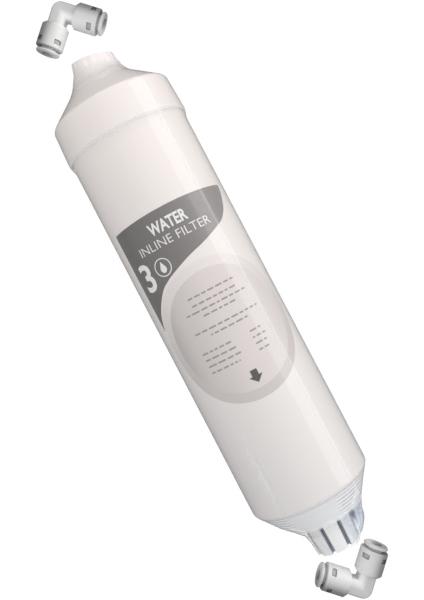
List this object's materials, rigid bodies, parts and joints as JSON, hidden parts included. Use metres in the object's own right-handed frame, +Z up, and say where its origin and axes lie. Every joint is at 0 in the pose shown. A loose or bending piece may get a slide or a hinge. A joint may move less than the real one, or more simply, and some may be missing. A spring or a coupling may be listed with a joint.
{
  "type": "inline water filter",
  "caption": "White cylindrical inline carbon cartridge in a clear shrink sleeve, with ribbed necks, a stepped outlet cone and loose push-fit tube elbows.",
  "frame": {"origin": "on the surface that the set lies on, midway between the two elbows, under the cartridge's axis", "axes": "+X is the flow direction along the cartridge's axis, from the inlet cap to the outlet neck. +Z is up, +Y to the left of the flow"},
  "size_m": [0.3674, 0.067, 0.067],
  "materials": {
    "housing_plastic": "satin white moulded plastic",
    "fitting_plastic": "matt white acetal",
    "foam": "open foam",
    "carbon": "dull black granules of coconut-shell charcoal",
    "felt": "needled felt",
    "label_print": "printed film",
    "clear_film": "clear glossy shrink film",
    "steel": "stamped stainless steel",
    "seal_rubber": "black nitrile"
  },
  "bodies": {
    "cartridge": {"housing": "housing_plastic", "inlet_cap": "housing_plastic", "inlet_screen": "fitting_plastic", "inlet_foam_pad": "foam", "carbon_bed": "carbon", "outlet_felt_pad": "felt", "outlet_screen": "fitting_plastic", "label": "label_print", "shrink_sleeve": "clear_film"},
    "inlet_elbow": {"inlet_elbow_body": "fitting_plastic", "inlet_elbow_cap_a": "fitting_plastic", "inlet_elbow_cone_ring_a": "fitting_plastic", "inlet_elbow_o_ring_a": "seal_rubber", "inlet_elbow_cap_b": "fitting_plastic", "inlet_elbow_cone_ring_b": "fitting_plastic", "inlet_elbow_o_ring_b": "seal_rubber"},
    "inlet_elbow_collet_a": {"inlet_elbow_collet_a": "fitting_plastic", "inlet_elbow_teeth_a": "steel"},
    "inlet_elbow_collet_b": {"inlet_elbow_collet_b": "fitting_plastic", "inlet_elbow_teeth_b": "steel"},
    "outlet_elbow": {"outlet_elbow_body": "fitting_plastic", "outlet_elbow_cap_a": "fitting_plastic", "outlet_elbow_cone_ring_a": "fitting_plastic", "outlet_elbow_o_ring_a": "seal_rubber", "outlet_elbow_cap_b": "fitting_plastic", "outlet_elbow_cone_ring_b": "fitting_plastic", "outlet_elbow_o_ring_b": "seal_rubber"},
    "outlet_elbow_collet_a": {"outlet_elbow_collet_a": "fitting_plastic", "outlet_elbow_teeth_a": "steel"},
    "outlet_elbow_collet_b": {"outlet_elbow_collet_b": "fitting_plastic", "outlet_elbow_teeth_b": "steel"}
  },
  "joints": [
    {"name": "inlet_elbow_lift", "type": "slide", "parent": "cartridge", "child": "inlet_elbow", "axis": [0, 0, 1], "range_m": [0, 0.12]},
    {"name": "inlet_elbow_release_a", "type": "slide", "parent": "inlet_elbow", "child": "inlet_elbow_collet_a", "axis": [-0.7071, 0.7071, 0], "range_m": [0, 0.0015]},
    {"name": "inlet_elbow_release_b", "type": "slide", "parent": "inlet_elbow", "child": "inlet_elbow_collet_b", "axis": [-0.7071, -0.7071, 0], "range_m": [0, 0.0015]},
    {"name": "outlet_elbow_lift", "type": "slide", "parent": "cartridge", "child": "outlet_elbow", "axis": [0, 0, 1], "range_m": [0, 0.12]},
    {"name": "outlet_elbow_release_a", "type": "slide", "parent": "outlet_elbow", "child": "outlet_elbow_collet_a", "axis": [0.7071, -0.7071, 0], "range_m": [0, 0.0015]},
    {"name": "outlet_elbow_release_b", "type": "slide", "parent": "outlet_elbow", "child": "outlet_elbow_collet_b", "axis": [0.7071, 0.7071, 0], "range_m": [0, 0.0015]}
  ]
}
